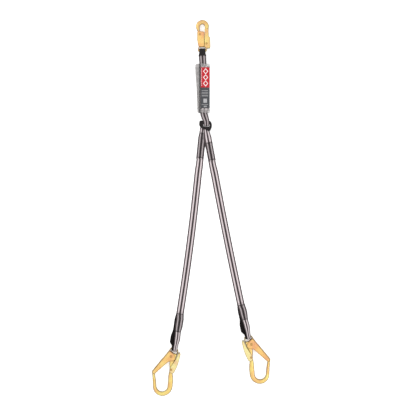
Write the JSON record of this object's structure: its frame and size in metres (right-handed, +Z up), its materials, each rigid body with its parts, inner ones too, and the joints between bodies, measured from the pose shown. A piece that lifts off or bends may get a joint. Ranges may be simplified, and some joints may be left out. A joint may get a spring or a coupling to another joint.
{
  "type": "shock-absorbing lanyard",
  "caption": "Forked shock-absorbing lanyard: folded tear webbing in a clear sleeve, a snap hook at the body end and striped webbing legs ending in large scaffold hooks.",
  "frame": {"origin": "middle of the absorber pack's flat underside", "axes": "+Y from the legs towards the snap hook, +X to the right seen from above, +Z up off the surface it lies on"},
  "size_m": [0.4681, 1.484, 0.0302],
  "materials": {
    "forged_plated": "yellow zinc plate on forged steel, satin",
    "sheet_plated": "yellow zinc plate on pressed steel sheet",
    "rivet": "plated steel, rolled heads",
    "spring": "bright spring wire",
    "webbing": "woven polyester, pink grey with darker stripes",
    "black_webbing": "woven polyester, black",
    "tear_webbing": "woven polyester, grey",
    "label": "printed card, red over dark grey",
    "clear_sleeve": "clear shrunk film"
  },
  "bodies": {
    "pack": {"absorber_cover": "clear_sleeve", "absorber_label_card": "label", "absorber_tear_web_lower": "tear_webbing", "absorber_tear_web_upper": "tear_webbing", "top_loop_webbing": "webbing", "top_loop_wear_sleeve": "black_webbing", "bottom_loop_webbing": "webbing", "hitch_wear_band": "black_webbing"},
    "snap_hook": {"snap_hook_body": "forged_plated", "snap_hook_gate_rivet": "rivet", "snap_hook_gate_spring": "spring", "snap_hook_lever_rivet": "rivet", "snap_hook_lever_spring": "spring"},
    "snap_gate": {"snap_hook_gate": "sheet_plated"},
    "snap_lever": {"snap_hook_lock_lever": "sheet_plated"},
    "left_leg": {"left_leg_webbing": "webbing", "left_leg_loop_lining": "black_webbing"},
    "left_hook": {"left_hook_body": "forged_plated", "left_hook_gate_rivet": "rivet", "left_hook_gate_spring": "spring", "left_hook_lever_rivet": "rivet", "left_hook_lever_spring": "spring"},
    "left_gate": {"left_hook_gate": "sheet_plated"},
    "left_lever": {"left_hook_lock_lever": "sheet_plated"},
    "right_leg": {"right_leg_webbing": "webbing", "right_leg_loop_lining": "black_webbing"},
    "right_hook": {"right_hook_body": "forged_plated", "right_hook_gate_rivet": "rivet", "right_hook_gate_spring": "spring", "right_hook_lever_rivet": "rivet", "right_hook_lever_spring": "spring"},
    "right_gate": {"right_hook_gate": "sheet_plated"},
    "right_lever": {"right_hook_lock_lever": "sheet_plated"}
  },
  "joints": [
    {"name": "snap_hook_swing", "type": "hinge", "parent": "pack", "child": "snap_hook", "pos_m": [-0.0083, 0.1473, 0.011], "axis": [1, 0, 0], "range_deg": [-80, 80]},
    {"name": "snap_gate_open", "type": "hinge", "parent": "snap_hook", "child": "snap_gate", "pos_m": [0.0077, 0.1773, 0.011], "axis": [0, 0, 1], "range_deg": [0, 17], "stiffness_Nm_per_rad": 0.04, "springref_deg": -28.65, "deforming": ["snap_hook_gate_spring"]},
    {"name": "snap_lever_press", "type": "hinge", "parent": "snap_hook", "child": "snap_lever", "pos_m": [-0.0193, 0.2133, 0.011], "axis": [0, 0, 1], "range_deg": [0, 4.5], "stiffness_Nm_per_rad": 0.08, "springref_deg": -11.46, "deforming": ["snap_hook_lever_spring"]},
    {"name": "left_leg_spread", "type": "hinge", "parent": "pack", "child": "left_leg", "pos_m": [-0.008, -0.167, 0], "axis": [0, 0, 1], "range_deg": [-50, 6]},
    {"name": "left_hook_swing", "type": "hinge", "parent": "left_leg", "child": "left_hook", "pos_m": [-0.119, -1.03, 0.0158], "axis": [0.9875, -0.1579, 0], "range_deg": [-80, 80]},
    {"name": "left_gate_open", "type": "hinge", "parent": "left_hook", "child": "left_gate", "pos_m": [-0.13236, -1.05947, 0.01426], "axis": [-0.0128, -0.0462, 0.9988], "range_deg": [0, 30], "stiffness_Nm_per_rad": 0.04, "springref_deg": -28.65, "deforming": ["left_hook_gate_spring"]},
    {"name": "left_lever_press", "type": "hinge", "parent": "left_hook", "child": "left_lever", "pos_m": [-0.13173, -1.11147, 0.01187], "axis": [-0.0128, -0.0462, 0.9988], "range_deg": [0, 5], "stiffness_Nm_per_rad": 0.08, "springref_deg": -11.46, "deforming": ["left_hook_lever_spring"]},
    {"name": "right_leg_spread", "type": "hinge", "parent": "pack", "child": "right_leg", "pos_m": [0.0085, -0.168, 0], "axis": [0, 0, 1], "range_deg": [-6, 50]},
    {"name": "right_hook_swing", "type": "hinge", "parent": "right_leg", "child": "right_hook", "pos_m": [0.1715, -0.982, 0.0158], "axis": [0.9775, 0.2112, 0], "range_deg": [-80, 80]},
    {"name": "right_gate_open", "type": "hinge", "parent": "right_hook", "child": "right_gate", "pos_m": [0.18486, -1.01146, 0.01426], "axis": [-0.0128, 0.0462, -0.9988], "range_deg": [0, 30], "stiffness_Nm_per_rad": 0.04, "springref_deg": -28.65, "deforming": ["right_hook_gate_spring"]},
    {"name": "right_lever_press", "type": "hinge", "parent": "right_hook", "child": "right_lever", "pos_m": [0.18423, -1.06347, 0.01187], "axis": [-0.0128, 0.0462, -0.9988], "range_deg": [0, 5], "stiffness_Nm_per_rad": 0.08, "springref_deg": -11.46, "deforming": ["right_hook_lever_spring"]}
  ]
}
